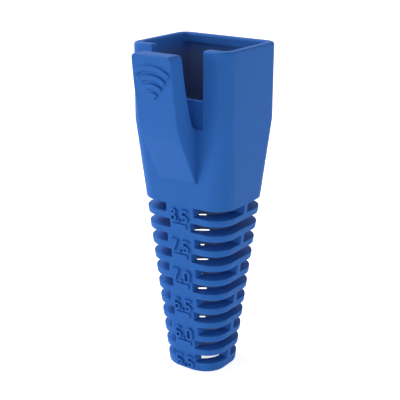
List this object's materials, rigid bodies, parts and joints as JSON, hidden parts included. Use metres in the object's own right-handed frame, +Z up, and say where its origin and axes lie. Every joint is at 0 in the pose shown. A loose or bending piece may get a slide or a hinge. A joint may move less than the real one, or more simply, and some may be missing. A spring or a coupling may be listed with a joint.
{
  "type": "rj45 strain relief boot",
  "caption": "Tapered flexible boot that slides over a modular network plug and its cable, with a slotted tail, stepped cable diameters on the front and a latch lever.",
  "frame": {"origin": "centre of the cable exit on the tail end face", "axes": "+Z up the boot towards the plug mouth, -Y towards the latch lever and the numbers, +X to the right seen from the lever side"},
  "size_m": [0.014, 0.0161, 0.0414],
  "materials": {
    "soft_plastic": "satin moulded blue"
  },
  "bodies": {
    "root": {"boot": "soft_plastic"}
  },
  "joints": []
}
